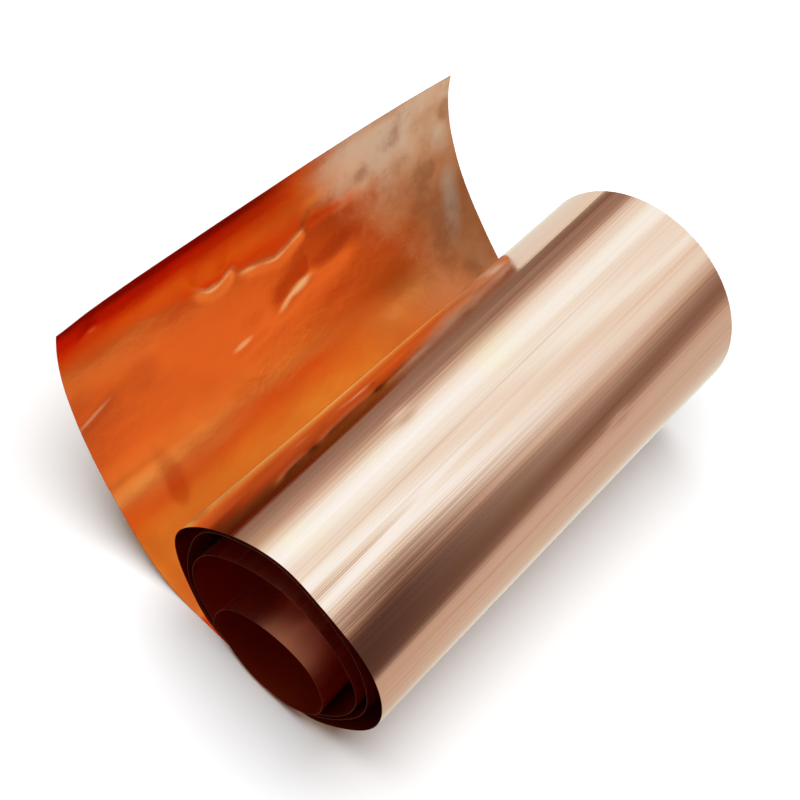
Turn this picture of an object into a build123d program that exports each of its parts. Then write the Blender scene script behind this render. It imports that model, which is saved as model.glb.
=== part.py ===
from build123d import *
import math
import os

# Copper foil roll, bare, lying on its side with its outer end standing free.
# Millimetres, +Z up. The roll's axis runs along Y: the near end of the roll,
# squashed to a flattened oval, faces -Y, and the far end, almost round, faces +Y.
# The origin is at the centre of the bounding box, on the surface it lies on.

# ---- driving dimensions ---------------------------------------------------
FOIL_WIDTH = 200.0        # width of the strip, along Y
FOIL_THICKNESS = 0.2      # thickness of the strip
INNER_PROTRUSION = 3.0    # how far the innermost turn stands out of the near end
FOOT_LEVEL = 27.0         # the foot lies flat on the surface for this distance
BODY_GAP = 0.3            # free gap between stretches that move on each other
ORIGIN_X = -31.485        # centre of the bounding box along X, in table coordinates
ORIGIN_Y = 98.5           # centre of the bounding box along Y, in table coordinates

# Distances along the tail, from where the outer turn leaves the surface, at
# which the tail bends: one hinge line each. The last stretch ends at the tip.
TAIL_HINGES = [30.0, 37.0, 44.5, 53.0, 63.0, 74.0, 85.0, 95.0, 104.5, 113.5, 122.0, 130.0]

# Height of the free edge above the surface, from the near end to the far end:
# the edge is a shallow arch, trimmed back most at the far corner. (y, z)
FREE_EDGE = [
    (0.0, 73.2), (14.0, 75.3), (35.0, 76.1), (75.0, 76.24), (115.0, 76.0), (145.0, 75.1), (170.0, 73.8),
    (188.0, 72.3), (200.0, 71.2),
]

# ---- centreline tables ----------------------------------------------------
# Points of the strip's centreline (x, z), in order along the strip.
# TAIL runs from the flat stretch under the roll out to the free tip. The tail is
# the same all along Y. The four turns run from the flat stretch round the right
# side, over the top, down the left side and along the bottom again. *_NEAR is
# the section at the squashed end and *_FAR the section at the round end, point
# for point, and the foil between them is ruled by straight lines.
OUTER_NEAR = [
    (-3.00, 0.10), (3.10, 0.115), (9.20, 0.145), (15.28, 0.49), (21.20, 1.90), (26.51, 4.85),
    (31.06, 8.91), (35.11, 13.47), (38.78, 18.33), (41.90, 23.57), (43.94, 29.30), (44.42, 35.36),
    (43.26, 41.33), (40.67, 46.84), (36.90, 51.61), (32.15, 55.42), (26.74, 58.21), (20.98, 60.21),
    (15.11, 61.86), (9.20, 63.38), (3.24, 64.68), (-2.82, 65.30), (-8.88, 64.75), (-14.73, 63.04),
    (-20.28, 60.53), (-25.52, 57.42), (-30.43, 53.81), (-34.95, 49.72), (-39.00, 45.16), (-42.41, 40.11),
    (-44.67, 34.47), (-44.87, 28.42), (-42.87, 22.68), (-39.59, 17.55), (-35.65, 12.90), (-31.34, 8.58),
    (-26.65, 4.69), (-21.22, 1.96), (-15.25, 0.81), (-9.16, 0.56), (-3.06, 0.59),
]
OUTER_FAR = [
    (-3.00, 0.10), (3.74, 0.63), (10.32, 2.20), (16.58, 4.78), (22.35, 8.30), (27.51, 12.68),
    (31.92, 17.80), (35.48, 23.55), (38.11, 29.79), (39.72, 36.36), (40.30, 43.10), (39.82, 49.85),
    (38.29, 56.44), (35.76, 62.71), (32.28, 68.51), (27.94, 73.70), (22.84, 78.14), (17.11, 81.74),
    (10.90, 84.41), (4.34, 86.07), (-2.40, 86.70), (-9.15, 86.26), (-15.75, 84.78), (-22.04, 82.29),
    (-27.86, 78.85), (-33.08, 74.55), (-37.56, 69.48), (-41.20, 63.78), (-43.91, 57.58), (-45.52, 51.01),
    (-45.98, 44.27), (-45.34, 37.53), (-43.68, 30.97), (-41.05, 24.74), (-37.54, 18.96), (-33.21, 13.76),
    (-28.16, 9.26), (-22.48, 5.59), (-16.29, 2.86), (-9.74, 1.17), (-3.00, 0.60),
]
SECOND_NEAR = [
    (-3.06, 0.59), (3.26, 0.58), (9.44, 0.67), (15.57, 1.44), (21.27, 3.78), (26.09, 7.64),
    (30.06, 12.38), (33.37, 17.60), (36.17, 23.11), (38.11, 28.97), (38.39, 35.13), (36.82, 41.09),
    (33.79, 46.47), (29.63, 51.03), (24.66, 54.70), (19.18, 57.56), (13.42, 59.81), (7.49, 61.57),
    (1.43, 62.78), (-4.74, 63.22), (-10.87, 62.47), (-16.69, 60.42), (-22.17, 57.55), (-27.41, 54.26),
    (-32.18, 50.34), (-35.88, 45.41), (-37.99, 39.62), (-38.63, 33.47), (-38.34, 27.30), (-37.31, 21.20),
    (-35.01, 15.48), (-31.27, 10.57), (-26.66, 6.46), (-21.33, 3.34), (-15.41, 1.62), (-9.25, 1.13),
    (-3.06, 1.14),
]
SECOND_FAR = [
    (-3.00, 0.60), (3.77, 1.19), (10.33, 2.94), (16.49, 5.79), (22.07, 9.67), (26.90, 14.45),
    (30.83, 19.99), (33.74, 26.13), (35.55, 32.68), (36.20, 39.44), (35.67, 46.21), (33.99, 52.79),
    (31.19, 58.98), (27.36, 64.59), (22.63, 69.46), (17.12, 73.44), (11.01, 76.41), (4.48, 78.28),
    (-2.27, 78.99), (-9.05, 78.53), (-15.65, 76.90), (-21.86, 74.16), (-27.51, 70.39), (-32.42, 65.70),
    (-36.45, 60.23), (-39.48, 54.15), (-41.31, 47.61), (-41.79, 40.84), (-41.04, 34.09), (-39.16, 27.56),
    (-36.26, 21.42), (-32.42, 15.81), (-27.74, 10.89), (-22.31, 6.80), (-16.27, 3.71), (-9.76, 1.76),
    (-3.00, 1.10),
]
THIRD_NEAR = [
    (-3.06, 1.14), (3.09, 1.05), (9.10, 1.27), (14.99, 2.48), (20.46, 4.97), (25.17, 8.70),
    (29.05, 13.30), (32.16, 18.45), (34.37, 24.04), (35.15, 29.99), (33.81, 35.82), (30.43, 40.77),
    (25.88, 44.69), (20.74, 47.83), (15.26, 50.31), (9.51, 52.11), (3.57, 53.02), (-2.44, 52.88),
    (-8.35, 51.72), (-14.03, 49.74), (-19.43, 47.08), (-24.47, 43.79), (-28.97, 39.80), (-32.61, 35.02),
    (-34.90, 29.47), (-35.43, 23.50), (-33.87, 17.72), (-30.51, 12.74), (-25.96, 8.83), (-20.65, 6.00),
    (-14.95, 4.08), (-9.05, 2.87), (-3.06, 2.25),
]
THIRD_FAR = [
    (-3.00, 1.10), (3.48, 1.73), (9.73, 3.59), (15.50, 6.61), (20.58, 10.68), (24.79, 15.66),
    (27.96, 21.35), (29.99, 27.54), (30.79, 34.00), (30.33, 40.50), (28.64, 46.79), (25.77, 52.64),
    (21.83, 57.83), (16.97, 62.17), (11.37, 65.49), (5.24, 67.68), (-1.21, 68.65), (-7.71, 68.37),
    (-14.05, 66.84), (-19.97, 64.13), (-25.26, 60.33), (-29.73, 55.59), (-33.20, 50.08), (-35.47, 43.98),
    (-35.89, 37.49), (-34.81, 31.06), (-32.58, 24.94), (-29.41, 19.25), (-25.43, 14.08), (-20.73, 9.56),
    (-15.38, 5.85), (-9.42, 3.22), (-3.00, 2.20),
]
INNER_NEAR = [
    (-3.06, 2.25), (2.57, 2.15), (8.05, 2.58), (13.43, 3.72), (18.48, 5.87), (22.84, 9.19),
    (25.96, 13.69), (26.86, 19.07), (25.35, 24.32), (22.02, 28.66), (17.43, 31.66), (12.17, 33.22),
    (6.69, 33.62), (1.21, 33.17), (-4.17, 32.01), (-9.32, 30.11), (-14.00, 27.24), (-17.67, 23.17),
    (-19.76, 18.11), (-20.18, 12.64), (-18.57, 7.45),
]
INNER_FAR = [
    (-3.00, 2.20), (1.41, 2.76), (5.53, 4.41), (9.12, 7.03), (11.93, 10.47), (13.79, 14.51),
    (14.58, 18.88), (14.25, 23.31), (12.82, 27.52), (10.38, 31.23), (7.09, 34.22), (3.16, 36.29),
    (-1.16, 37.30), (-5.60, 37.21), (-9.88, 36.00), (-13.71, 33.76), (-16.87, 30.64), (-19.14, 26.82),
    (-20.38, 22.55), (-20.52, 18.11), (-19.54, 13.78),
]
TAIL = [
    (-3.00, 0.10), (-6.01, 0.10), (-9.00, 0.10), (-12.00, 0.10), (-14.99, 0.10), (-17.99, 0.10),
    (-20.99, 0.10), (-23.99, 0.10), (-27.00, 0.10), (-29.99, 0.10), (-32.98, 0.30), (-35.94, 0.65),
    (-38.86, 1.18), (-41.75, 1.91), (-44.58, 2.83), (-47.35, 3.94), (-50.08, 5.22), (-52.74, 6.65),
    (-55.35, 8.19), (-57.92, 9.83), (-60.44, 11.54), (-62.92, 13.31), (-65.36, 15.11), (-67.76, 16.95),
    (-70.12, 18.80), (-72.45, 20.68), (-74.75, 22.58), (-77.00, 24.51), (-79.22, 26.48), (-81.40, 28.48),
    (-83.54, 30.54), (-85.63, 32.65), (-87.68, 34.81), (-89.67, 37.04), (-91.60, 39.33), (-93.46, 41.68),
    (-95.26, 44.09), (-96.97, 46.57), (-98.59, 49.11), (-100.11, 51.72), (-101.52, 54.38), (-102.81, 57.10),
    (-103.97, 59.87), (-104.98, 62.69), (-105.83, 65.55), (-106.51, 68.44), (-107.00, 71.35), (-107.31, 74.28),
    (-107.43, 76.24),
]


# ---- smooth curve through a table ------------------------------------------
class Curve:
    """Natural cubic spline through points, by distance along the chords."""

    def __init__(self, pts):
        self.t = [0.0]
        for a, b in zip(pts, pts[1:]):
            self.t.append(self.t[-1] + math.dist(a, b))
        self.v = [[p[i] for p in pts] for i in (0, 1)]
        self.m = [self._second(self.v[i]) for i in (0, 1)]
        self.length = self.t[-1]

    def _second(self, y):
        t, n = self.t, len(self.t)
        a, b, c, d = [0.0] * n, [1.0] * n, [0.0] * n, [0.0] * n
        for i in range(1, n - 1):
            h0, h1 = t[i] - t[i - 1], t[i + 1] - t[i]
            a[i], b[i], c[i] = h0, 2 * (h0 + h1), h1
            d[i] = 6 * ((y[i + 1] - y[i]) / h1 - (y[i] - y[i - 1]) / h0)
        for i in range(1, n):
            w = a[i] / b[i - 1]
            b[i] -= w * c[i - 1]
            d[i] -= w * d[i - 1]
        m = [0.0] * n
        m[-1] = d[-1] / b[-1]
        for i in range(n - 2, -1, -1):
            m[i] = (d[i] - c[i] * m[i + 1]) / b[i]
        return m

    def at(self, s):
        """Point and unit tangent at distance s."""
        t = self.t
        i = 0
        while i < len(t) - 2 and s > t[i + 1]:
            i += 1
        h = t[i + 1] - t[i]
        u, w = (t[i + 1] - s) / h, (s - t[i]) / h
        p, q = [], []
        for y, m in zip(self.v, self.m):
            p.append(u * y[i] + w * y[i + 1] + ((u**3 - u) * m[i] + (w**3 - w) * m[i + 1]) * h * h / 6)
            q.append((y[i + 1] - y[i]) / h + ((1 - 3 * u * u) * m[i] + (3 * w * w - 1) * m[i + 1]) * h / 6)
        k = math.hypot(*q)
        return (p[0], p[1]), (q[0] / k, q[1] / k)


def section_wire(stations, y):
    """Closed outline of the strip's section: stations are (point, tangent)."""
    half = FOIL_THICKNESS / 2
    left = [(x - half * tz, y, z + half * tx) for (x, z), (tx, tz) in stations]
    right = [(x + half * tz, y, z - half * tx) for (x, z), (tx, tz) in stations]
    par = [i / (len(stations) - 1) for i in range(len(stations))]
    move = lambda pts: [Vector(px - ORIGIN_X, py - ORIGIN_Y, pz) for px, py, pz in pts]
    left, right = move(left), move(right)
    return Wire([
        Edge.make_spline(left, parameters=par),
        Edge.make_line(left[-1], right[-1]),
        Edge.make_spline(right[::-1], parameters=par),
        Edge.make_line(right[0], left[0]),
    ])


def ruled_strip(near, far, y0, y1):
    return Solid.make_loft([section_wire(near, y0), section_wire(far, y1)], ruled=True)


os.makedirs("parts", exist_ok=True)


def save(name, shape):
    shape.label = name
    export_step(shape, f"parts/{name}.step")


# ---- the roll: four turns of one strip --------------------------------------
turns = [
    ("outer_turn", OUTER_NEAR, OUTER_FAR),
    ("second_turn", SECOND_NEAR, SECOND_FAR),
    ("third_turn", THIRD_NEAR, THIRD_FAR),
    ("inner_turn", INNER_NEAR, INNER_FAR),
]
# One curve through all four turns for each end, so neighbouring turns share the
# same edge line and the same slope where they meet.
near_pts, far_pts, marks = [], [], [0]
for name, near, far in turns:
    near_pts += near if not near_pts else near[1:]
    far_pts += far if not far_pts else far[1:]
    marks.append(len(near_pts) - 1)
near_curve, far_curve = Curve(near_pts), Curve(far_pts)
near_st = [near_curve.at(t) for t in near_curve.t]
far_st = [far_curve.at(t) for t in far_curve.t]

for i, (name, _, _) in enumerate(turns):
    a, b = marks[i], marks[i + 1]
    ns, fs = near_st[a : b + 1], far_st[a : b + 1]
    y0, y1 = 0.0, FOIL_WIDTH
    if name == "inner_turn":
        # the innermost turn slides along the roll's axis: it starts a free gap
        # after the third turn, and it stands out of the near end
        ns[0], fs[0] = near_curve.at(near_curve.t[a] + BODY_GAP), far_curve.at(far_curve.t[a] + BODY_GAP)
        y0, y1 = -INNER_PROTRUSION, FOIL_WIDTH - INNER_PROTRUSION
    if name == "outer_turn":
        # level where it leaves the flat stretch under the roll
        ns[0] = (ns[0][0], (1.0, 0.0))
        fs[0] = (fs[0][0], (1.0, 0.0))
    save(name, ruled_strip(ns, fs, y0, y1))

# ---- the tail: the flat foot under the roll and the free panels --------------
tail = Curve(TAIL)


def tail_stretch(s0, s1, level_from_start=False):
    """A stretch of the tail, the same section all along the width."""
    n = max(4, math.ceil((s1 - s0) / 2.5) + 1)
    st = [tail.at(s0 + (s1 - s0) * i / (n - 1)) for i in range(n)]
    # the strip never dips under the surface it lies on
    st = [((x, max(z, FOIL_THICKNESS / 2)), t if z > FOIL_THICKNESS / 2 + 0.02 else (-1.0, 0.0)) for (x, z), t in st]
    # seen along the strip the inner face is on the other side, so flip the tangents
    st = [(p, (-t[0], -t[1])) for p, t in st]
    return ruled_strip(st, st, 0.0, FOIL_WIDTH)


def foot(s_flat, s_end):
    """The foot under the roll: level from the roll to s_flat, then rising to s_end."""
    half = FOIL_THICKNESS / 2
    st = [tail.at(s) for s in (s_flat, (s_flat + s_end) / 2, s_end)]
    mid = [(x, max(z, half)) for (x, z), _ in st]
    tan = [(-1.0, 0.0)] + [t for _, t in st[1:]]
    low = [(x - half * tz, z + half * tx) for (x, z), (tx, tz) in zip(mid, tan)]
    top = [(x + half * tz, z - half * tx) for (x, z), (tx, tz) in zip(mid, tan)]
    x0 = TAIL[0][0]

    def wire(y):
        v = lambda q: Vector(q[0] - ORIGIN_X, y - ORIGIN_Y, q[1])
        b, t = [v(q) for q in low], [v(q) for q in top]
        start_low, start_top = v((x0, 0.0)), v((x0, FOIL_THICKNESS))
        return Wire([
            Edge.make_line(start_low, b[0]),
            Edge.make_spline(b),
            Edge.make_line(b[-1], t[-1]),
            Edge.make_spline(t[::-1]),
            Edge.make_line(t[0], start_top),
            Edge.make_line(start_top, start_low),
        ])

    return Solid.make_loft([wire(0.0), wire(FOIL_WIDTH)], ruled=True)


def trim_free_edge(shape):
    """Cut the tail's free edge to its shallow arch."""
    x0, x1 = tail.at(tail.length)[0][0] - 6.0, tail.at(tail.length)[0][0] + 6.0
    v = lambda y, z: Vector(x0 - ORIGIN_X, y - ORIGIN_Y, z)
    arch = Edge.make_spline([v(y, z) for y, z in FREE_EDGE])
    (ya, za), (yb, zb) = FREE_EDGE[0], FREE_EDGE[-1]
    outline = Wire([
        arch,
        Edge.make_line(v(yb, zb), v(yb + 5.0, zb)),
        Edge.make_line(v(yb + 5.0, zb), v(yb + 5.0, 90.0)),
        Edge.make_line(v(yb + 5.0, 90.0), v(ya - 5.0, 90.0)),
        Edge.make_line(v(ya - 5.0, 90.0), v(ya - 5.0, za)),
        Edge.make_line(v(ya - 5.0, za), v(ya, za)),
    ])
    cutter = Solid.extrude(Face(outline), Vector(x1 - x0, 0, 0))
    left = (Part() + shape - cutter).solids()
    return left[0]


save("tail_foot", foot(FOOT_LEVEL, TAIL_HINGES[0] - BODY_GAP / 2))
ends = TAIL_HINGES[1:] + [tail.length]
for i, (s0, s1) in enumerate(zip(TAIL_HINGES, ends)):
    last = i == len(ends) - 1
    name = "tail_tip" if last else f"tail_panel_{i + 1:02d}"
    stretch = tail_stretch(s0 + BODY_GAP / 2, s1 - (0 if last else BODY_GAP / 2))
    save(name, trim_free_edge(stretch) if last else stretch)

print("tail length", round(tail.length, 1), "strip near edge", round(tail.length + near_curve.length, 1),
      "strip far edge", round(tail.length + far_curve.length, 1))
for s in TAIL_HINGES:
    (x, z), _ = tail.at(s)
    print("hinge", s, round(x - ORIGIN_X, 3), round(z, 3))
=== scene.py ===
import bpy
import math
import numpy as np
from mathutils import Matrix, Vector


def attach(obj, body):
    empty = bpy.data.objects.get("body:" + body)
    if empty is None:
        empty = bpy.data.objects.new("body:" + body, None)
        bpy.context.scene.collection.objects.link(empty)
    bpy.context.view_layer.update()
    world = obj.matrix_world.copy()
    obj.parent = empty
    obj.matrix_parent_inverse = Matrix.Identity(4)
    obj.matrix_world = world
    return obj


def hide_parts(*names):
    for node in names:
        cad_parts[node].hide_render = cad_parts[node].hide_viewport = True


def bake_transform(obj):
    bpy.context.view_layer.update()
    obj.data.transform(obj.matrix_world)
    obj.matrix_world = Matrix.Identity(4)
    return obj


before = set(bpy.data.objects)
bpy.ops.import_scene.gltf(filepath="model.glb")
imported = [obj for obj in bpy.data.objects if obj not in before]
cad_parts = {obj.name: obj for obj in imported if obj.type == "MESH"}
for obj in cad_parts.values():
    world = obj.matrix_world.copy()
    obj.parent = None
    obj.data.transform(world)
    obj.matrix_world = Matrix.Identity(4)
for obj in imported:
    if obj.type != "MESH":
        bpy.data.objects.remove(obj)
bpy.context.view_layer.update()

# ---- section tables, millimetres, (x, z) ----------------------------------
# One strip of foil. Near is the edge at the squashed end (y = 0) and far the
# edge at the round end (y = 200). Every point is a station of the strip, and
# the strip is ruled between the near and the far station.
OUTER_NEAR = [
    (-3.00, 0.100), (3.10, 0.115), (9.20, 0.145), (15.28, 0.490), (21.20, 1.900), (26.51, 4.850),
    (31.06, 8.910), (35.11, 13.470), (38.78, 18.330), (41.90, 23.570), (43.94, 29.300), (44.42, 35.360),
    (43.26, 41.330), (40.67, 46.840), (36.90, 51.610), (32.15, 55.420), (26.74, 58.210), (20.98, 60.210),
    (15.11, 61.860), (9.20, 63.380), (3.24, 64.680), (-2.82, 65.300), (-8.88, 64.750), (-14.73, 63.040),
    (-20.28, 60.530), (-25.52, 57.420), (-30.43, 53.810), (-34.95, 49.720), (-39.00, 45.160), (-42.41, 40.110),
    (-44.67, 34.470), (-44.87, 28.420), (-42.87, 22.680), (-39.59, 17.550), (-35.65, 12.900), (-31.34, 8.580),
    (-26.65, 4.690), (-21.22, 1.960), (-15.25, 0.810), (-9.16, 0.560), (-3.06, 0.590),
]
OUTER_FAR = [
    (-3.00, 0.100), (3.74, 0.630), (10.32, 2.200), (16.58, 4.780), (22.35, 8.300), (27.51, 12.680),
    (31.92, 17.800), (35.48, 23.550), (38.11, 29.790), (39.72, 36.360), (40.30, 43.100), (39.82, 49.850),
    (38.29, 56.440), (35.76, 62.710), (32.28, 68.510), (27.94, 73.700), (22.84, 78.140), (17.11, 81.740),
    (10.90, 84.410), (4.34, 86.070), (-2.40, 86.700), (-9.15, 86.260), (-15.75, 84.780), (-22.04, 82.290),
    (-27.86, 78.850), (-33.08, 74.550), (-37.56, 69.480), (-41.20, 63.780), (-43.91, 57.580), (-45.52, 51.010),
    (-45.98, 44.270), (-45.34, 37.530), (-43.68, 30.970), (-41.05, 24.740), (-37.54, 18.960), (-33.21, 13.760),
    (-28.16, 9.260), (-22.48, 5.590), (-16.29, 2.860), (-9.74, 1.170), (-3.00, 0.600),
]
SECOND_NEAR = [
    (-3.06, 0.590), (3.26, 0.580), (9.44, 0.670), (15.57, 1.440), (21.27, 3.780), (26.09, 7.640),
    (30.06, 12.380), (33.37, 17.600), (36.17, 23.110), (38.11, 28.970), (38.39, 35.130), (36.82, 41.090),
    (33.79, 46.470), (29.63, 51.030), (24.66, 54.700), (19.18, 57.560), (13.42, 59.810), (7.49, 61.570),
    (1.43, 62.780), (-4.74, 63.220), (-10.87, 62.470), (-16.69, 60.420), (-22.17, 57.550), (-27.41, 54.260),
    (-32.18, 50.340), (-35.88, 45.410), (-37.99, 39.620), (-38.63, 33.470), (-38.34, 27.300), (-37.31, 21.200),
    (-35.01, 15.480), (-31.27, 10.570), (-26.66, 6.460), (-21.33, 3.340), (-15.41, 1.620), (-9.25, 1.130),
    (-3.06, 1.140),
]
SECOND_FAR = [
    (-3.00, 0.600), (3.77, 1.190), (10.33, 2.940), (16.49, 5.790), (22.07, 9.670), (26.90, 14.450),
    (30.83, 19.990), (33.74, 26.130), (35.55, 32.680), (36.20, 39.440), (35.67, 46.210), (33.99, 52.790),
    (31.19, 58.980), (27.36, 64.590), (22.63, 69.460), (17.12, 73.440), (11.01, 76.410), (4.48, 78.280),
    (-2.27, 78.990), (-9.05, 78.530), (-15.65, 76.900), (-21.86, 74.160), (-27.51, 70.390), (-32.42, 65.700),
    (-36.45, 60.230), (-39.48, 54.150), (-41.31, 47.610), (-41.79, 40.840), (-41.04, 34.090), (-39.16, 27.560),
    (-36.26, 21.420), (-32.42, 15.810), (-27.74, 10.890), (-22.31, 6.800), (-16.27, 3.710), (-9.76, 1.760),
    (-3.00, 1.100),
]
THIRD_NEAR = [
    (-3.06, 1.140), (3.09, 1.050), (9.10, 1.270), (14.99, 2.480), (20.46, 4.970), (25.17, 8.700),
    (29.05, 13.300), (32.16, 18.450), (34.37, 24.040), (35.15, 29.990), (33.81, 35.820), (30.43, 40.770),
    (25.88, 44.690), (20.74, 47.830), (15.26, 50.310), (9.51, 52.110), (3.57, 53.020), (-2.44, 52.880),
    (-8.35, 51.720), (-14.03, 49.740), (-19.43, 47.080), (-24.47, 43.790), (-28.97, 39.800), (-32.61, 35.020),
    (-34.90, 29.470), (-35.43, 23.500), (-33.87, 17.720), (-30.51, 12.740), (-25.96, 8.830), (-20.65, 6.000),
    (-14.95, 4.080), (-9.05, 2.870), (-3.06, 2.250),
]
THIRD_FAR = [
    (-3.00, 1.100), (3.48, 1.730), (9.73, 3.590), (15.50, 6.610), (20.58, 10.680), (24.79, 15.660),
    (27.96, 21.350), (29.99, 27.540), (30.79, 34.000), (30.33, 40.500), (28.64, 46.790), (25.77, 52.640),
    (21.83, 57.830), (16.97, 62.170), (11.37, 65.490), (5.24, 67.680), (-1.21, 68.650), (-7.71, 68.370),
    (-14.05, 66.840), (-19.97, 64.130), (-25.26, 60.330), (-29.73, 55.590), (-33.20, 50.080), (-35.47, 43.980),
    (-35.89, 37.490), (-34.81, 31.060), (-32.58, 24.940), (-29.41, 19.250), (-25.43, 14.080), (-20.73, 9.560),
    (-15.38, 5.850), (-9.42, 3.220), (-3.00, 2.200),
]
INNER_NEAR = [
    (-3.06, 2.250), (2.57, 2.150), (8.05, 2.580), (13.43, 3.720), (18.48, 5.870), (22.84, 9.190),
    (25.96, 13.690), (26.86, 19.070), (25.35, 24.320), (22.02, 28.660), (17.43, 31.660), (12.17, 33.220),
    (6.69, 33.620), (1.21, 33.170), (-4.17, 32.010), (-9.32, 30.110), (-14.00, 27.240), (-17.67, 23.170),
    (-19.76, 18.110), (-20.18, 12.640), (-18.57, 7.450),
]
INNER_FAR = [
    (-3.00, 2.200), (1.41, 2.760), (5.53, 4.410), (9.12, 7.030), (11.93, 10.470), (13.79, 14.510),
    (14.58, 18.880), (14.25, 23.310), (12.82, 27.520), (10.38, 31.230), (7.09, 34.220), (3.16, 36.290),
    (-1.16, 37.300), (-5.60, 37.210), (-9.88, 36.000), (-13.71, 33.760), (-16.87, 30.640), (-19.14, 26.820),
    (-20.38, 22.550), (-20.52, 18.110), (-19.54, 13.780),
]
TAIL = [
    (-3.00, 0.100), (-6.01, 0.100), (-9.00, 0.100), (-12.00, 0.100), (-14.99, 0.100), (-17.99, 0.100),
    (-20.99, 0.100), (-23.99, 0.100), (-27.00, 0.100), (-29.99, 0.100), (-32.98, 0.300), (-35.94, 0.650),
    (-38.86, 1.180), (-41.75, 1.910), (-44.58, 2.830), (-47.35, 3.940), (-50.08, 5.220), (-52.74, 6.650),
    (-55.35, 8.190), (-57.92, 9.830), (-60.44, 11.540), (-62.92, 13.310), (-65.36, 15.110), (-67.76, 16.950),
    (-70.12, 18.800), (-72.45, 20.680), (-74.75, 22.580), (-77.00, 24.510), (-79.22, 26.480), (-81.40, 28.480),
    (-83.54, 30.540), (-85.63, 32.650), (-87.68, 34.810), (-89.67, 37.040), (-91.60, 39.330), (-93.46, 41.680),
    (-95.26, 44.090), (-96.97, 46.570), (-98.59, 49.110), (-100.11, 51.720), (-101.52, 54.380), (-102.81, 57.100),
    (-103.97, 59.870), (-104.98, 62.690), (-105.83, 65.550), (-106.51, 68.440), (-107.00, 71.350), (-107.31, 74.280),
    (-107.43, 76.240),
]

WIDTH = 200.0
THICK = 0.2
# height of the tail's free edge from the near to the far end: a shallow arch (y, z)
FREE_EDGE = [
    (0.0, 73.2), (14.0, 75.3), (35.0, 76.1), (75.0, 76.24), (115.0, 76.0), (145.0, 75.1), (170.0, 73.8),
    (188.0, 72.3), (200.0, 71.2),
]
SHIFT = np.array([31.485, -98.5, 0.0])      # table coordinates to the row frame
HINGES = [30.0, 37.0, 44.5, 53.0, 63.0, 74.0, 85.0, 95.0, 104.5, 113.5, 122.0, 130.0]
SLIDE_A, SLIDE_B = -25.0, 12.0             # the link between third and inner turn, along x


# ---- curves ----------------------------------------------------------------
class Spline:
    """Natural cubic through points at knots 0, 1, 2..."""

    def __init__(self, pts):
        p = np.array(pts, float)
        n = len(p)
        a = np.zeros((n, n))
        b = np.zeros_like(p)
        a[0, 0] = a[-1, -1] = 1.0
        for i in range(1, n - 1):
            a[i, i - 1], a[i, i], a[i, i + 1] = 1.0, 4.0, 1.0
            b[i] = 6.0 * (p[i + 1] - 2 * p[i] + p[i - 1])
        self.p, self.m = p, np.linalg.solve(a, b)

    def at(self, u):
        u = np.asarray(u, float)
        i = np.clip(np.floor(u).astype(int), 0, len(self.p) - 2)
        f = (u - i)[:, None]
        g = 1.0 - f
        return (g * self.p[i] + f * self.p[i + 1]
                + ((g ** 3 - g) * self.m[i] + (f ** 3 - f) * self.m[i + 1]) / 6.0)


tail_pts = TAIL[::-1][::2]                  # from the free edge down to the foot
near_pts = tail_pts + OUTER_NEAR[1:] + SECOND_NEAR[1:] + THIRD_NEAR[1:] + INNER_NEAR[1:]
far_pts = tail_pts + OUTER_FAR[1:] + SECOND_FAR[1:] + THIRD_FAR[1:] + INNER_FAR[1:]
near_c, far_c = Spline(near_pts), Spline(far_pts)
K_TAIL = len(tail_pts) - 1                  # station where the roll begins
K_OUT = K_TAIL + len(OUTER_NEAR) - 1
K_SEC = K_OUT + len(SECOND_NEAR) - 1
K_THI = K_SEC + len(THIRD_NEAR) - 1
K_END = K_THI + len(INNER_NEAR) - 1


def arc_table(curve):
    u = np.linspace(0, K_END, K_END * 40 + 1)
    p = curve.at(u)
    s = np.r_[0.0, np.cumsum(np.hypot(*np.diff(p, axis=0).T))]
    return u, s


u_t, s_t = arc_table(near_c)
tail_len = float(np.interp(K_TAIL, u_t, s_t))
S_END = float(s_t[-1])


def u_of(s):
    """Station number for a distance s along the near edge, from the free edge."""
    return np.interp(s, s_t, u_t)


def s_at(k):
    return float(np.interp(k, u_t, s_t))


# ---- the columns and rows of the strip's grid ------------------------------
def spaced(a, b, step):
    n = max(1, int(math.ceil((b - a) / step)))
    return np.linspace(a, b, n + 1)


mids = [26.5] + [(HINGES[i] + HINGES[i + 1]) / 2 for i in range(11)]
tail_cuts = [0.0] + [tail_len - m for m in mids[::-1]]     # distances from the free edge
slide_a = None
for k in np.linspace(K_THI - 9, K_THI, 400):               # third turn's end, coming in under the roll
    if near_c.at([k])[0, 0] > SLIDE_A + 0.0 and near_c.at([k])[0, 1] < 20:
        slide_a = s_at(k)
        break
slide_b = None
for k in np.linspace(K_THI, K_THI + 6, 400):
    if near_c.at([k])[0, 0] > SLIDE_B:
        slide_b = s_at(k)
        break
cuts = sorted(set([round(c, 6) for c in tail_cuts] + [round(s_at(K_OUT), 6), round(slide_a, 6), round(slide_b, 6), round(S_END, 6)]))


def step_for(a):
    if a < s_at(K_TAIL):
        return 0.7
    if a < s_at(K_OUT):
        return 1.1
    if a < s_at(K_THI) - 30:
        return 2.2
    return 1.4


# the stretch from the foot's seam to the end of the outer turn is cut where the spacing changes
stops = sorted(set(cuts + [round(s_at(K_TAIL), 6)]))
cols = [0.0]
for a, b in zip(stops[:-1], stops[1:]):
    cols += list(spaced(a, b, step_for(a))[1:])
cols = np.array(cols)
rows = np.r_[spaced(0, 12, 1.2), spaced(12, 188, 1.6)[1:], spaced(188, WIDTH, 1.2)[1:]]


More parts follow.
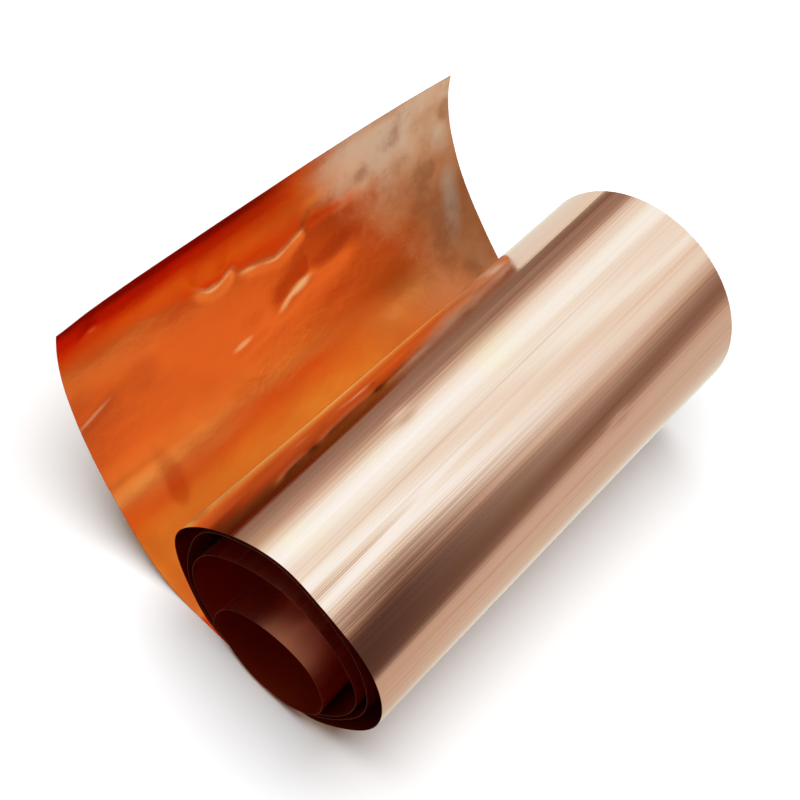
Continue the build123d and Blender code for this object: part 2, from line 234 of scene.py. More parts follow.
# ---- smooth seeded noise ----------------------------------------------------
def noise1(x, seed, period):
    """Smooth noise, -1..1, one value for each x, with bumps about `period` long."""
    rng = np.random.RandomState(seed)
    tab = rng.uniform(-1, 1, 4096)
    t = np.asarray(x, float) / period + 1000.0
    i = np.floor(t).astype(int)
    f = t - i
    f = f * f * f * (f * (f * 6 - 15) + 10)
    return tab[i % 4096] * (1 - f) + tab[(i + 1) % 4096] * f


def noise2(x, y, seed, px, py):
    rng = np.random.RandomState(seed)
    tab = rng.uniform(-1, 1, (256, 256))
    a, b = np.asarray(x, float) / px + 500.0, np.asarray(y, float) / py + 500.0
    i, j = np.floor(a).astype(int), np.floor(b).astype(int)
    f, g = a - i, b - j
    f = f * f * f * (f * (f * 6 - 15) + 10)
    g = g * g * g * (g * (g * 6 - 15) + 10)
    i0, i1, j0, j1 = i % 256, (i + 1) % 256, j % 256, (j + 1) % 256
    return ((tab[i0, j0] * (1 - f) + tab[i1, j0] * f) * (1 - g)
            + (tab[i0, j1] * (1 - f) + tab[i1, j1] * f) * g)


def smooth(x, a, b):
    t = np.clip((np.asarray(x, float) - a) / (b - a), 0, 1)
    return t * t * (3 - 2 * t)


# ---- the strip's middle surface --------------------------------------------
S, Y = np.meshgrid(cols, rows, indexing="ij")
# the free edge is trimmed to its arch; the grid closes up towards it
trim = 76.26 - np.interp(rows, [q[0] for q in FREE_EDGE], [q[1] for q in FREE_EDGE])
trim = np.convolve(np.r_[[trim[0]] * 4, trim, [trim[-1]] * 4], np.ones(9) / 9, "valid")
S = S + trim[None, :] * (1.0 - smooth(S, 0.0, 12.5))
U = u_of(S.ravel())
N3, F3 = near_c.at(U).reshape(*S.shape, 2), far_c.at(U).reshape(*S.shape, 2)
k = (rows / WIDTH)[None, :, None]
XZ = N3 * (1 - k) + F3 * k
P = np.stack([XZ[..., 0], Y, XZ[..., 1]], -1)

# the innermost turn stands 3 mm out of the near end
drop = smooth(S, slide_a - 4.0, slide_b - 8.0) * -3.0
P[..., 1] += drop


def normals(p):
    """Unit normals; they point to the outside of the roll."""
    du = np.empty_like(p)
    du[1:-1] = p[2:] - p[:-2]
    du[0], du[-1] = p[1] - p[0], p[-1] - p[-2]
    dv = np.empty_like(p)
    dv[:, 1:-1] = p[:, 2:] - p[:, :-2]
    dv[:, 0], dv[:, -1] = p[:, 1] - p[:, 0], p[:, -1] - p[:, -2]
    n = np.cross(du, dv)
    return n / np.linalg.norm(n, axis=-1, keepdims=True)


n0 = normals(P)
side = 1.0
probe = int(np.argmin(np.abs(cols - (s_at(K_TAIL) + 70))))  # right side of the outer turn
if n0[probe, 10, 0] < 0:
    side = -1.0
n0 = n0 * side

T = S - s_at(K_TAIL)                        # distance from the start of the roll; the tail is negative
D = np.zeros_like(S)                        # displacement along the outward normal, never out of the CAD box

# outer turn: long gentle facets along the axis, as rolled foil has
lift = smooth(P[..., 2], 3.0, 12.0)
len_outer = s_at(K_OUT) - s_at(K_TAIL)
on_outer = smooth(T, 4.0, 20.0) * (1 - smooth(T, len_outer - 30, len_outer - 8))
drift = 2.0 * noise1(Y, 5, 110.0) + 0.012 * Y
w = (0.055 * noise1(T + drift, 11, 15.0) + 0.022 * noise1(T + 0.7 * drift, 12, 6.5)
     + 0.006 * noise1(T + 0.9 * drift, 13, 3.4))


def bend_line(t0, t1, amp, width, y0=-20.0, y1=220.0, fade=25.0):
    """A faint bend along the axis: t0 at the near end to t1 at the far end."""
    tc_ = t0 + (t1 - t0) * Y / WIDTH + 0.35 * noise1(Y, int(t0 * 10), 33.0)
    d = np.abs(T - tc_)
    win = smooth(Y, y0, y0 + fade) * (1 - smooth(Y, y1 - fade, y1))
    return -amp * np.exp(-d / width) * win


w = w + bend_line(114.8, 123.2, 0.14, 2.4) + bend_line(116.8, 118.5, 0.10, 1.8, -20, 110)
w = w + bend_line(139.5, 142.5, 0.06, 2.6) + bend_line(104.0, 104.6, 0.07, 2.2) + bend_line(107.0, 108.8, 0.05, 1.6)
w = w + bend_line(150.2, 149.0, 0.05, 2.2) + bend_line(98.5, 99.5, 0.05, 2.4) + bend_line(124.0, 126.4, 0.03, 2.0, 60, 240)


st = tail_len - S                           # distance up the tail from the roll


def crease(path, amp, below, above, ends=(4.0, 4.0)):
    """A dent along a path of (s up the tail, y): steep just below its line, gentle above it."""
    ys_ = [q[1] for q in path]
    t = st - np.interp(Y, ys_, [q[0] for q in path])
    f = np.where(t < 0, np.exp(-(t / below) ** 2), np.exp(-(t / above) ** 2))
    return amp * f * smooth(Y, ys_[0], ys_[0] + ends[0]) * (1 - smooth(Y, ys_[-1] - ends[1], ys_[-1]))


D += on_outer * lift * (w - 0.14)

# two small kinks on the outer turn
D += -0.16 * np.exp(-((T - 140.0) / 2.2) ** 2 - ((Y - 68.0) / 5.0) ** 2)
D += -0.14 * np.exp(-((T - 88.5) / 2.0) ** 2 - ((Y - 131.0) / 6.0) ** 2)

# the tail: small dents pressed outward; the pale lines along them are painted highlights, in the material below
D += crease([(121.5, 56.0), (118.6, 62.0), (116.6, 66.0), (116.2, 70.5), (117.4, 75.0), (119.6, 80.5)], 0.34, 2.6, 6.0, (6.0, 5.0))
D += crease([(118.0, 77.0), (115.6, 84.0), (113.2, 92.0), (111.8, 98.5), (112.6, 104.0), (114.4, 110.0), (116.4, 118.0)], 0.30, 2.6, 6.0, (9.0, 7.0))
D += crease([(116.0, 112.0), (119.0, 119.0), (118.0, 130.0), (117.6, 140.0), (118.6, 153.0)], -0.30, 3.2, 5.0, (6.0, 6.0))
D += crease([(91.5, 86.0), (94.0, 95.0), (96.2, 103.0), (97.6, 108.0), (98.6, 114.0)], 0.34, 2.6, 6.0, (12.0, 4.0))
D += crease([(98.6, 108.0), (97.0, 118.0), (97.6, 128.0), (99.2, 140.0)], 0.20, 3.0, 6.0, (6.0, 14.0))
D += crease([(89.6, 62.0), (90.3, 72.0), (91.4, 80.0), (92.2, 90.0)], 0.22, 2.4, 6.0, (8.0, 8.0))
D += crease([(100.6, -6.0), (101.6, 4.0), (104.0, 14.0), (105.0, 19.0)], 0.05, 1.8, 4.0, (1.0, 8.0))
D += crease([(131.2, 8.0), (132.4, 14.0), (131.4, 20.0)], 0.18, 1.6, 3.0, (4.0, 4.0))
D += crease([(79.5, -6.0), (79.0, 20.0), (77.5, 52.0)], 0.10, 2.4, 6.0, (1.0, 20.0))
on_tail = smooth(st, 34.0, 60.0)
D += on_tail * (0.10 * noise2(st, Y, 21, 19.0, 34.0) + 0.05 * noise2(st, Y, 22, 9.0, 17.0))
D += on_tail * 0.10 * noise1(st + 0.03 * Y, 23, 14.0)
# keep the free edge inside the box
D = np.where(T < 0, D * smooth(S, -0.5, 5.0), D)

P = P + n0 * D[..., None]
NRM = normals(P) * side


# ---- materials ---------------------------------------------------------------
def new_material(name):
    m = bpy.data.materials.new(name)
    m.use_nodes = True
    nt = m.node_tree
    nt.nodes.clear()
    out = nt.nodes.new("ShaderNodeOutputMaterial")
    bsdf = nt.nodes.new("ShaderNodeBsdfPrincipled")
    nt.links.new(bsdf.outputs[0], out.inputs[0])
    return m, nt, bsdf


def strip_coords(nt, sx, sy):
    """Distances along and across the strip, scaled, from the strip's own map."""
    uv = nt.nodes.new("ShaderNodeUVMap")
    uv.uv_map = "strip"
    mp = nt.nodes.new("ShaderNodeMapping")
    mp.inputs["Scale"].default_value = (sx, sy, 1.0)
    nt.links.new(uv.outputs[0], mp.inputs[0])
    return mp.outputs[0]


def noise_node(nt, vec, scale, detail=3.0, rough=0.5):
    n = nt.nodes.new("ShaderNodeTexNoise")
    n.inputs["Scale"].default_value = scale
    n.inputs["Detail"].default_value = detail
    n.inputs["Roughness"].default_value = rough
    nt.links.new(vec, n.inputs["Vector"])
    return n.outputs[0]


def ramp(nt, fac, stops_):
    r = nt.nodes.new("ShaderNodeValToRGB")
    e = r.color_ramp.elements
    while len(e) > 1:
        e.remove(e[-1])
    e[0].position, e[0].color = stops_[0][0], (*stops_[0][1], 1.0)
    for p_, c_ in stops_[1:]:
        x = e.new(p_)
        x.color = (*c_, 1.0)
    nt.links.new(fac, r.inputs[0])
    return r.outputs[0]


def bump(nt, height, strength, distance):
    b = nt.nodes.new("ShaderNodeBump")
    b.inputs["Strength"].default_value = strength
    b.inputs["Distance"].default_value = distance
    nt.links.new(height, b.inputs["Height"])
    return b.outputs[0]


def math_node(nt, op, a, b=None, clamp=False):
    m = nt.nodes.new("ShaderNodeMath")
    m.operation = op
    m.use_clamp = clamp
    for i, v in enumerate((a, b)):
        if v is None:
            continue
        if isinstance(v, (int, float)):
            m.inputs[i].default_value = v
        else:
            nt.links.new(v, m.inputs[i])
    return m.outputs[0]


def mix_color(nt, fac, a, b):
    m = nt.nodes.new("ShaderNodeMix")
    m.data_type = "RGBA"
    for name_, v in ((0, fac), (6, a), (7, b)):
        if isinstance(v, (int, float)):
            m.inputs[name_].default_value = v
        elif isinstance(v, tuple):
            m.inputs[name_].default_value = (*v, 1.0)
        else:
            nt.links.new(v, m.inputs[name_])
    return m.outputs[2]


def map_range(nt, v, a, b, c=0.0, d=1.0):
    m = nt.nodes.new("ShaderNodeMapRange")
    m.interpolation_type = "SMOOTHSTEP"
    m.inputs["From Min"].default_value = a
    m.inputs["From Max"].default_value = b
    m.inputs["To Min"].default_value = c
    m.inputs["To Max"].default_value = d
    nt.links.new(v, m.inputs["Value"])
    return m.outputs[0]


def separate(nt, vec):
    s_ = nt.nodes.new("ShaderNodeSeparateXYZ")
    nt.links.new(vec, s_.inputs[0])
    return s_.outputs


# outer face: bright rolled rose copper, with fine rolling lines along the axis
def spot(nt, s0, y0, rs, ry, turn=0.0):
    """A soft round mark, 1 at its centre: s up the tail and y in mm (y from -250 on the outer face)."""
    uv = nt.nodes.new("ShaderNodeUVMap")
    uv.uv_map = "strip"
    mp = nt.nodes.new("ShaderNodeMapping")
    mp.vector_type = "TEXTURE"
    mp.inputs["Location"].default_value = ((tail_len - s0) / 1000.0, (y0 + 250.0) / 1000.0, 0.0)
    mp.inputs["Rotation"].default_value = (0.0, 0.0, math.radians(turn))
    mp.inputs["Scale"].default_value = (rs / 1000.0, ry / 1000.0, 1.0)
    g = nt.nodes.new("ShaderNodeTexGradient")
    g.gradient_type = "SPHERICAL"
    nt.links.new(uv.outputs[0], mp.inputs[0])
    nt.links.new(mp.outputs[0], g.inputs[0])
    return g.outputs["Fac"]


m_out, nt, bs = new_material("rolled_copper_outside")
bs.inputs["Metallic"].default_value = 1.0
fine = noise_node(nt, strip_coords(nt, 900.0, 5.0), 1.0, 4.0, 0.6)
broad = noise_node(nt, strip_coords(nt, 190.0, 3.0), 1.0, 3.0, 0.55)
tone = math_node(nt, "ADD", math_node(nt, "MULTIPLY", fine, 0.5), math_node(nt, "MULTIPLY", broad, 0.5))
col = ramp(nt, tone, [(0.34, (0.80, 0.47, 0.36)), (0.46, (0.93, 0.60, 0.49)), (0.58, (0.955, 0.64, 0.54))])
patch = noise_node(nt, strip_coords(nt, 30.0, 30.0), 1.0, 3.0, 0.5)
col = mix_color(nt, map_range(nt, patch, 0.56, 0.72, 0.0, 0.35), col, (0.93, 0.66, 0.42))
# the covered turns are duller, and painted darker and redder as shade inside the roll
s_out = separate(nt, strip_coords(nt, 1.0, 1.0))[0]
covered = map_range(nt, s_out, (s_at(K_OUT) - 12.0) / 1000.0, (s_at(K_OUT) + 4.0) / 1000.0)
col = mix_color(nt, covered, col, (0.84, 0.26, 0.13))
uv_out = separate(nt, strip_coords(nt, 1.0, 1.0))
# painted shade: a darker band on the outer turn beside the tail, strongest towards the near end
shade = math_node(nt, "MULTIPLY", map_range(nt, uv_out[0], (s_at(K_TAIL) + 153.5) / 1000.0, (s_at(K_TAIL) + 157.0) / 1000.0),
                  map_range(nt, uv_out[0], (s_at(K_TAIL) + 166.0) / 1000.0, (s_at(K_TAIL) + 173.0) / 1000.0, 1.0, 0.0))
shade = math_node(nt, "MULTIPLY", shade, map_range(nt, uv_out[1], 0.050, 0.100, 1.0, 0.15))
col = mix_color(nt, shade, col, (0.66, 0.41, 0.50))
# painted glow: the mouth of the innermost turn painted brighter, with a painted red glint deeper in; both spots are
# also rougher, satin
painted_red_glint = math_node(nt, "MULTIPLY", spot(nt, tail_len - 872.0, 26.0 - 250.0, 15.0, 26.0), 1.5, True)
col = mix_color(nt, painted_red_glint, col, (0.96, 0.12, 0.035))
painted_glow = math_node(nt, "MULTIPLY", spot(nt, tail_len - 866.0, 3.0 - 250.0, 17.0, 20.0), 1.6, True)
col = mix_color(nt, painted_glow, col, (0.96, 0.33, 0.18))
nt.links.new(col, bs.inputs["Base Color"])
dull = math_node(nt, "ADD", math_node(nt, "MULTIPLY", covered, 0.17), math_node(nt, "MAXIMUM", math_node(nt, "MULTIPLY", painted_glow, 0.26), math_node(nt, "MULTIPLY", painted_red_glint, 0.22)))
nt.links.new(math_node(nt, "ADD", map_range(nt, broad, 0.35, 0.7, 0.06, 0.12), dull), bs.inputs["Roughness"])
grain = noise_node(nt, strip_coords(nt, 1500.0, 8.0), 1.0, 2.0, 0.5)
hgt = math_node(nt, "ADD", math_node(nt, "MULTIPLY", grain, 0.35), math_node(nt, "MULTIPLY", fine, 0.65))
nt.links.new(bump(nt, hgt, 0.10, 0.0004), bs.inputs["Normal"])


def total(nt, items):
    out = items[0]
    for it in items[1:]:
        out = math_node(nt, "ADD", out, it)
    return out


# inner face: deeper copper; towards the far end of the tail it is handled, hazy and stained
m_in, nt, bs = new_material("copper_inside")
bs.inputs["Metallic"].default_value = 1.0
xy = separate(nt, strip_coords(nt, 1.0, 1.0))
cloud = noise_node(nt, strip_coords(nt, 26.0, 20.0), 1.0, 5.0, 0.6)
blot = noise_node(nt, strip_coords(nt, 60.0, 48.0), 1.0, 5.0, 0.65)
base_t = noise_node(nt, strip_coords(nt, 16.0, 11.0), 1.0, 4.0, 0.55)
# along the strip from the free edge (u in units of 0.2 m): the tail, then inside the roll; painted light and shade, the
# tail in lighter and darker bands and the inside of the roll painted dark red as shade
u_pos = lambda s_: (tail_len - s_) / 200.0
along = math_node(nt, "MULTIPLY", xy[0], 5.0, True)
body = ramp(nt, along, [(0.0, (0.97, 0.34, 0.07)), (u_pos(124), (1.0, 0.46, 0.10)), (u_pos(117), (0.92, 0.23, 0.040)),
                        (u_pos(108), (0.82, 0.148, 0.020)), (u_pos(86), (0.85, 0.158, 0.023)), (u_pos(77), (0.93, 0.235, 0.036)),
                        (u_pos(71), (0.98, 0.44, 0.11)), (u_pos(66), (1.0, 0.66, 0.23)), (u_pos(57), (1.0, 0.66, 0.24)),
                        (u_pos(51), (1.0, 0.57, 0.20)), (u_pos(20), (0.96, 0.54, 0.22)),
                        (u_pos(-15), (0.70, 0.085, 0.02)), (1.0, (0.70, 0.085, 0.02))])
# painted reflection: the free edge painted red over its near half
painted_red_reflection = math_node(nt, "MULTIPLY", map_range(nt, math_node(nt, "ADD", xy[0], math_node(nt, "MULTIPLY", xy[1], 0.12)), 0.040, 0.052, 1.0, 0.0),
                   map_range(nt, xy[1], 0.322, 0.346, 1.0, 0.0))
col = mix_color(nt, painted_red_reflection, body, (0.96, 0.15, 0.015))
col = mix_color(nt, map_range(nt, base_t, 0.42, 0.66, 0.0, 0.30), col, (0.60, 0.10, 0.015))
smudge = total(nt, [spot(nt, 70, 24, 14, 6, 12), spot(nt, 62, 22, 8, 5, 10), spot(nt, 104, 30, 9, 12, 0),
                    spot(nt, 117, 128, 8, 24, 0)])
col = mix_color(nt, math_node(nt, "MULTIPLY", map_range(nt, smudge, 0.05, 0.8), 0.45), col, (0.55, 0.09, 0.015))
# painted highlights: pale lines along the tail's dents, with fainter and brighter ones beside them
painted_crease_highlight = total(nt, [spot(nt, 119.0, 62.3, 1.5, 5.6, -31), spot(nt, 116.5, 68.6, 2.0, 5.2, 0), spot(nt, 118.0, 75.6, 1.5, 5.4, 22)])
faint = total(nt, [spot(nt, 114.4, 86.0, 1.7, 8.6, -8), spot(nt, 112.5, 95.5, 1.8, 6.0, -14), spot(nt, 112.3, 101.6, 1.9, 5.6, 10),
                   spot(nt, 114.2, 110.0, 1.7, 8.0, 12), spot(nt, 91.0, 72.5, 1.5, 7.0, 5), spot(nt, 94.2, 97.0, 1.8, 6.4, 22),
                   spot(nt, 102.2, 6.0, 1.0, 12.0, 13)])
bright = total(nt, [spot(nt, 96.6, 105.4, 2.4, 8.6, 9), spot(nt, 132.4, 15.0, 1.6, 3.0, 0)])
lines = total(nt, [math_node(nt, "MULTIPLY", map_range(nt, painted_crease_highlight, 0.0, 0.75), 0.95),
                   math_node(nt, "MULTIPLY", map_range(nt, faint, 0.0, 0.85), 0.62),
                   math_node(nt, "MULTIPLY", map_range(nt, bright, 0.0, 0.75), 0.95)])
col = mix_color(nt, math_node(nt, "MULTIPLY", lines, 1.0, True), col, (0.98, 0.56, 0.26))
# v is y + 0.25 m on the inner face; the haze starts about 130 mm from the near end
far_v = math_node(nt, "ADD", xy[1], math_node(nt, "MULTIPLY", math_node(nt, "SUBTRACT", cloud, 0.5), 0.12))
up_s = math_node(nt, "MULTIPLY", xy[0], -0.45)
haze = map_range(nt, math_node(nt, "ADD", far_v, up_s), 0.352, 0.396)
tail_only = map_range(nt, xy[0], 0.095, 0.12, 1.0, 0.0)
haze = math_node(nt, "MULTIPLY", haze, tail_only)
low_pale = ramp(nt, cloud, [(0.36, (0.74, 0.24, 0.08)), (0.5, (0.87, 0.34, 0.14)), (0.64, (0.94, 0.46, 0.24))])
top_pale = ramp(nt, cloud, [(0.36, (0.80, 0.40, 0.22)), (0.5, (0.97, 0.60, 0.42)), (0.64, (1.0, 0.76, 0.60))])
pale = mix_color(nt, map_range(nt, xy[0], 0.046, 0.018), low_pale, top_pale)
light = total(nt, [spot(nt, 132, 168, 16, 34, 0), spot(nt, 122, 156, 16, 10, 35), spot(nt, 116, 192, 12, 14, 0),
                   spot(nt, 90, 190, 26, 10, -20), spot(nt, 46, 190, 10, 12, 0)])
pale = mix_color(nt, map_range(nt, math_node(nt, "MULTIPLY", light, cloud), 0.12, 0.5), pale, (0.98, 0.72, 0.58))
stain = total(nt, [spot(nt, 126, 166, 8, 8, 30), spot(nt, 114, 169, 7, 8, 0), spot(nt, 104, 176, 8, 10, 0),
                   spot(nt, 105, 185, 5, 6, 0), spot(nt, 123, 198, 9, 6, 0), spot(nt, 120, 147, 5, 8, 0),
                   spot(nt, 58, 187, 10, 8, 20), spot(nt, 48, 194, 8, 6, 0), spot(nt, 74, 178, 14, 14, 0),
                   spot(nt, 82, 158, 14, 14, 0)])
spots = math_node(nt, "MULTIPLY", stain, map_range(nt, blot, 0.30, 0.66))
pale = mix_color(nt, map_range(nt, spots, 0.0, 0.60, 0.0, 0.50), pale, (0.50, 0.17, 0.065))
pale = mix_color(nt, map_range(nt, blot, 0.50, 0.72, 0.0, 0.42), pale, (0.56, 0.21, 0.09))
col = mix_color(nt, haze, col, pale)
nt.links.new(col, bs.inputs["Base Color"])
rg = math_node(nt, "ADD", map_range(nt, base_t, 0.3, 0.7, 0.13, 0.21), math_node(nt, "MULTIPLY", haze, 0.16))
rg = math_node(nt, "ADD", rg, map_range(nt, xy[0], 0.150, 0.165, 0.0, 0.14))     # duller inside the roll
nt.links.new(rg, bs.inputs["Roughness"])
nt.links.new(bump(nt, blot, 0.15, 0.0008), bs.inputs["Normal"])

m_edge, nt, bs = new_material("cut_edge")
bs.inputs["Metallic"].default_value = 1.0
bs.inputs["Base Color"].default_value = (0.13, 0.055, 0.035, 1.0)
bs.inputs["Roughness"].default_value = 0.5


# ---- two-sided pieces cut from the strip -----------------------------------
def strip_piece(name, s0, s1):
    i0 = int(np.argmin(np.abs(cols - s0)))
    i1 = int(np.argmin(np.abs(cols - s1)))
    p, n = P[i0:i1 + 1], NRM[i0:i1 + 1]
    a, b = p.shape[:2]
    half = THICK / 2 * 0.75
    top = p + n * half
    bot = p - n * half
    for q in (top, bot):                     # never past the ends of the strip, nor below the table
        q[..., 1] = np.clip(q[..., 1], -3.0, WIDTH)
        q[..., 2] = np.maximum(q[..., 2], 0.0)
    co = (np.concatenate([top.reshape(-1, 3), bot.reshape(-1, 3)]) + SHIFT) / 1000.0
    idx = np.arange(a * b).reshape(a, b)
    off = a * b
    f_top = np.stack([idx[:-1, :-1], idx[1:, :-1], idx[1:, 1:], idx[:-1, 1:]], -1).reshape(-1, 4)
    if side < 0:
        f_top = f_top[:, ::-1]
    f_bot = f_top[:, ::-1] + off
    rims = []

    def rim(line):
        line = np.asarray(line)
        rims.append(np.stack([line[:-1], line[:-1] + off, line[1:] + off, line[1:]], -1))

    rim(idx[:, 0])
    rim(idx[::-1, -1])
    rim(idx[0, ::-1])
    rim(idx[-1, :])
    f_rim = np.concatenate(rims)
    if side < 0:
        f_rim = f_rim[:, ::-1]
    faces = np.concatenate([f_top, f_bot, f_rim])
    me = bpy.data.meshes.new(name)
    me.vertices.add(len(co))
    me.vertices.foreach_set("co", co.astype(np.float32).ravel())
    me.loops.add(faces.size)
    me.loops.foreach_set("vertex_index", faces.astype(np.int32).ravel())
    me.polygons.add(len(faces))
    me.polygons.foreach_set("loop_start", np.arange(0, faces.size, 4, dtype=np.int32))
    me.polygons.foreach_set("loop_total", np.full(len(faces), 4, np.int32))
    mat = np.concatenate([np.zeros(len(f_top)), np.ones(len(f_bot)), np.full(len(f_rim), 2)]).astype(np.int32)
    me.polygons.foreach_set("material_index", mat)
    me.polygons.foreach_set("use_smooth", np.ones(len(faces), bool))
    for m in (m_out, m_in, m_edge):
        me.materials.append(m)
    me.update(calc_edges=True)
    # strip map: distance along (1 m = 1) and across, the inner face set apart
    uv = me.uv_layers.new(name="strip")
    ss = np.concatenate([S[i0:i1 + 1].ravel(), S[i0:i1 + 1].ravel()]) / 1000.0
    yy = np.concatenate([Y[i0:i1 + 1].ravel(), Y[i0:i1 + 1].ravel()]) / 1000.0
    fl = faces.ravel()
    uvs = np.stack([ss[fl], yy[fl]], -1)
    nl = len(f_top) * 4
    uvs[nl:2 * nl, 1] += 0.25
    uvs[2 * nl:, 1] += 0.5
    uv.data.foreach_set("uv", uvs.astype(np.float32).ravel())
    # shading normals of the whole strip, so no seam shows between pieces
    vn = np.concatenate([n.reshape(-1, 3), -n.reshape(-1, 3)])[fl]
    f3 = co[f_rim]
    rn = np.cross(f3[:, 1] - f3[:, 0], f3[:, 2] - f3[:, 1])
    rn /= np.maximum(np.linalg.norm(rn, axis=-1, keepdims=True), 1e-12)
    vn[2 * nl:] = np.repeat(rn, 4, axis=0)
    me.normals_split_custom_set([tuple(v) for v in vn])
    ob = bpy.data.objects.new(name, me)
    bpy.context.scene.collection.objects.link(ob)
    return ob


def near_point(s):
    q = near_c.at([u_of(s)])[0]
    return ((q[0] + SHIFT[0]) / 1000.0, 0.0, q[1] / 1000.0)


names = [f"tail_panel_{i:02d}" for i in range(1, 12)] + ["tail_tip"]
outer = strip_piece("coil_outer", tail_len - mids[0], s_at(K_OUT))
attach(outer, "coil")
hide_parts("tail_foot", "outer_turn")
inner_coil = strip_piece("coil_middle", s_at(K_OUT), slide_a)
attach(inner_coil, "coil")
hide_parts("second_turn", "third_turn")
for i in range(12):
    a = tail_len - mids[i]
    b = tail_len - mids[i + 1] if i < 11 else 0.0
    ob = strip_piece(f"tail_{i + 1:02d}", b, a)
    end = b if i < 11 else tail_len - 134.0
    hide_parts(names[i])
    near_point(a)
    near_point(end)
    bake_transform(ob)
link = strip_piece("inner_link", slide_a, slide_b)
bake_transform(link)
innermost = strip_piece("inner_coil", slide_b, S_END)
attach(innermost, "inner_turn")
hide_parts("inner_turn")

# ---- floor, light, camera ----------------------------------------------------
fl = bpy.data.meshes.new("floor")
r = 6.0
fl.from_pydata([(-r, -r, -0.0002), (r, -r, -0.0002), (r, r, -0.0002), (-r, r, -0.0002)], [], [(0, 1, 2, 3)])
floor = bpy.data.objects.new("floor", fl)
bpy.context.scene.collection.objects.link(floor)
m_floor, nt, bs = new_material("floor_white")
bs.inputs["Base Color"].default_value = (0.92, 0.92, 0.92, 1.0)
bs.inputs["Roughness"].default_value = 0.9
bs.inputs["Specular IOR Level"].default_value = 0.1
fl.materials.append(m_floor)

# a small panel in front of the roll's open end lets a little light into it
front = bpy.data.lights.new("front_panel", "AREA")
front.shape = "DISK"
front.size = 0.35
front.energy = 1.35
front_ob = bpy.data.objects.new("front_panel", front)
front_ob.location = (-0.12, -0.62, 0.42)
aim = Vector((0.03, -0.09, 0.04)) - Vector(front_ob.location)
front_ob.rotation_euler = aim.to_track_quat("-Z", "Y").to_euler()
front_ob.visible_diffuse = False
bpy.context.scene.collection.objects.link(front_ob)

# The room's light: a long overhead softbox along the roll, darker to both sides.
world = bpy.data.worlds.new("studio")
bpy.context.scene.world = world
world.use_nodes = True
wt = world.node_tree
wt.nodes.clear()
wo = wt.nodes.new("ShaderNodeOutputWorld")
bg = wt.nodes.new("ShaderNodeBackground")
wt.links.new(bg.outputs[0], wo.inputs[0])
tc = wt.nodes.new("ShaderNodeTexCoord")
sx = wt.nodes.new("ShaderNodeSeparateXYZ")
wt.links.new(tc.outputs["Generated"], sx.inputs[0])
at = wt.nodes.new("ShaderNodeMath")
at.operation = "ARCTAN2"
wt.links.new(sx.outputs["Z"], at.inputs[0])
wt.links.new(sx.outputs["X"], at.inputs[1])
# angle about the roll's axis in degrees: 0 at +x, 90 straight up, 180 at -x, below the horizon negative
angle = math_node(wt, "MULTIPLY", at.outputs[0], 180.0 / math.pi)
# the softbox stands askew: its right edge is lower towards the far end
skew = math_node(wt, "MULTIPLY", map_range(wt, angle, 15.0, 45.0), map_range(wt, angle, 85.0, 112.0, 1.0, 0.0))
lean = wt.nodes.new("ShaderNodeMapRange")
for key, val in (("From Min", 0.34), ("From Max", 0.53), ("To Min", 0.0), ("To Max", 22.0)):
    lean.inputs[key].default_value = val
wt.links.new(sx.outputs["Y"], lean.inputs["Value"])
angle = math_node(wt, "ADD", angle, math_node(wt, "MULTIPLY", lean.outputs[0], skew))
fac = math_node(wt, "MULTIPLY", math_node(wt, "ADD", angle, 90.0), 1.0 / 270.0)
# dim light in the room is warm, the softbox is white
TONES = [(0.0, (0.0, 0.0, 0.0)), (0.06, (0.11, 0.06, 0.045)), (0.16, (0.24, 0.16, 0.11)), (0.30, (0.38, 0.30, 0.24)),
         (0.46, (0.54, 0.46, 0.36)), (0.65, (0.67, 0.65, 0.55)), (0.93, (0.85, 0.93, 0.82)), (1.13, (0.92, 1.13, 1.11)),
         (1.32, (0.98, 1.32, 1.34)), (1.45, (1.05, 1.46, 1.68))]
GAIN = 1.6


def sky(levels):
    """Ramp stops from (angle in degrees, green level) pairs."""
    gs = [t_[0] for t_ in TONES]
    return [((ang + 90.0) / 270.0, tuple(float(np.interp(g_, gs, [t_[1][c_] for t_ in TONES])) / GAIN for c_ in range(3)))
            for ang, g_ in levels]


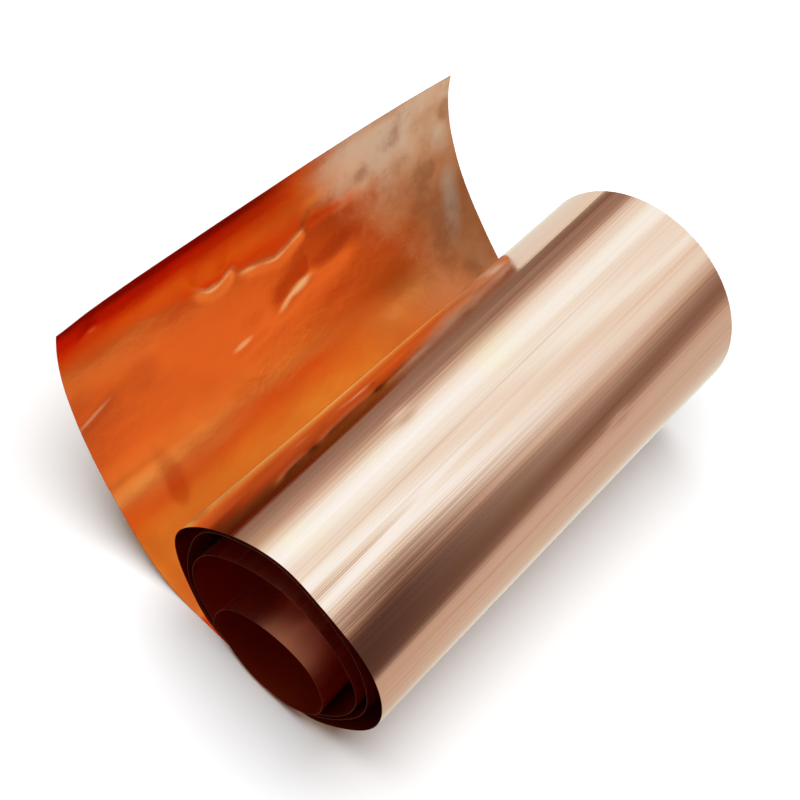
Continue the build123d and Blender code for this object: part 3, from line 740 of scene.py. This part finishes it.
near_sky = sky([(-90, 0.46), (-60, 0.46), (-35, 0.48), (0, 0.46), (8.5, 0.44), (11.5, 0.30), (14.5, 0.07), (20, 0.042), (54, 0.042),
                (61, 0.06), (66, 0.16), (69, 0.42), (72, 0.90), (76, 1.30), (80, 1.44), (85, 1.30), (90, 1.13), (96, 1.06),
                (103, 1.15), (112, 1.30), (120, 1.41), (131, 1.39), (137, 1.26), (141, 0.88), (146, 0.56), (152, 0.44),
                (158, 0.34), (164, 0.22), (180, 0.17)])
far_sky = sky([(-90, 0.90), (-65, 0.72), (-35, 0.60), (0, 0.56), (8, 0.47), (13, 0.27), (20, 0.19), (34, 0.16), (48, 0.20),
               (56, 0.26), (64, 0.38), (69, 0.54), (74, 0.68), (79, 0.90), (84, 1.03), (89, 1.03), (95, 0.94), (100, 1.04),
               (104, 1.28), (107, 1.30), (109, 1.04), (112, 1.22), (116, 1.38), (124, 1.36), (133, 1.20), (141, 1.02),
               (147, 0.76), (152, 0.40), (158, 0.26), (165, 0.30), (172, 0.17)])
c_near = ramp(wt, fac, near_sky)
c_far = ramp(wt, fac, far_sky)
c_sky = mix_color(wt, map_range(wt, sx.outputs["Y"], 0.32, 0.56), c_near, c_far)
# the side the roll's open end faces is dimmer
dim = map_range(wt, sx.outputs["Y"], -0.75, -0.15, 0.55, 1.0)
c_sky = mix_color(wt, dim, (0.0, 0.0, 0.0), c_sky)
wt.links.new(c_sky, bg.inputs["Color"])
bg.inputs["Strength"].default_value = GAIN
world.cycles_visibility.diffuse = False            # the walls are only what the copper mirrors

floor.visible_glossy = False

# the floor's light: one broad soft panel overhead
panel = bpy.data.lights.new("soft_panel", "AREA")
panel.shape = "RECTANGLE"
panel.size, panel.size_y = 1.1, 1.1
panel.energy = 17.0
panel_ob = bpy.data.objects.new("soft_panel", panel)
panel_ob.location = (-0.10, 0.05, 0.95)
panel_ob.visible_glossy = False
bpy.context.scene.collection.objects.link(panel_ob)

sc = bpy.context.scene
cam_d = bpy.data.cameras.new("camera")
cam_d.sensor_width = 36.0
cam_d.lens = 76.5
cam_d.clip_start, cam_d.clip_end = 0.01, 50.0
cam = bpy.data.objects.new("camera", cam_d)
sc.collection.objects.link(cam)
R = np.array([[0.73018397, 0.6335695, 0.25577541],
              [-0.64808885, 0.52370182, 0.55291703],
              [0.21636132, -0.56949635, 0.793008]])
m4 = Matrix.Identity(4)
for i in range(3):
    for j in range(3):
        m4[i][j] = R[j, i]
m4.translation = Vector((0.129874, -0.342521, 0.509789))
cam.matrix_world = m4
sc.camera = cam
sc.view_settings.view_transform = "Standard"
sc.cycles.max_bounces = 16
sc.cycles.glossy_bounces = 12
